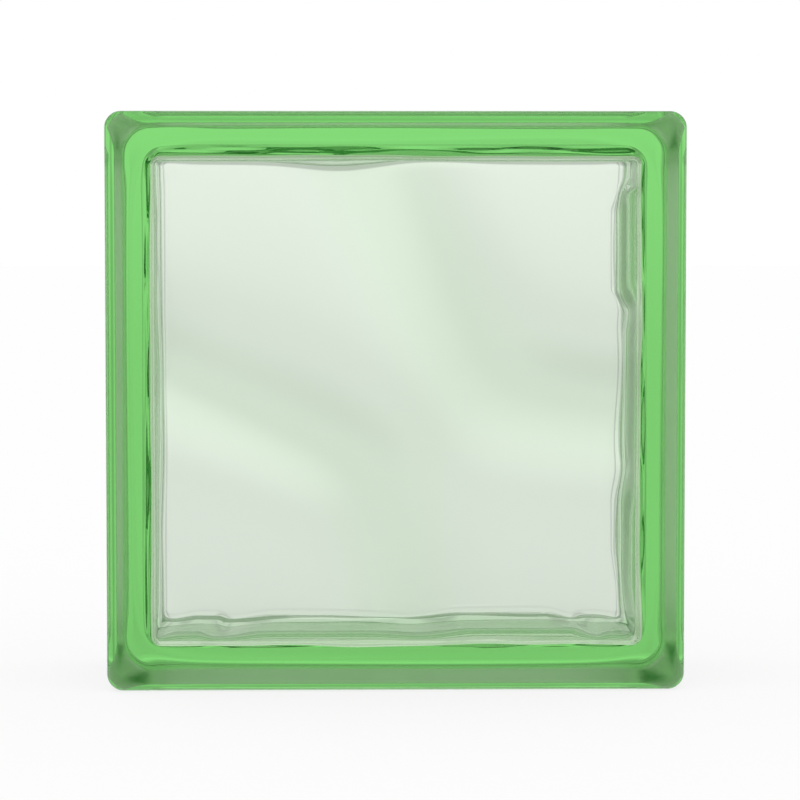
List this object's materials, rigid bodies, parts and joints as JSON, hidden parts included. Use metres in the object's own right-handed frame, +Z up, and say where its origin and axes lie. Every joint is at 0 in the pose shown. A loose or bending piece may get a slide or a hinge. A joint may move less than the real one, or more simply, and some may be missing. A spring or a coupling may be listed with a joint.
{
  "type": "glass block",
  "caption": "Square hollow glass building block with rounded rims, a mortar key round its sides and a soft wave inside its clear faces.",
  "frame": {"origin": "middle of the underside, on the plane of the two lower rim lands, at mid depth on the fused seam", "axes": "+Z up, +X to the right as the front face is seen, +Y through the depth from the front face to the back face"},
  "size_m": [0.19, 0.08, 0.19],
  "materials": {
    "glass": "clear, fire-polished, tinted green in the mass"
  },
  "bodies": {
    "root": {"glass_block": "glass"}
  },
  "joints": []
}
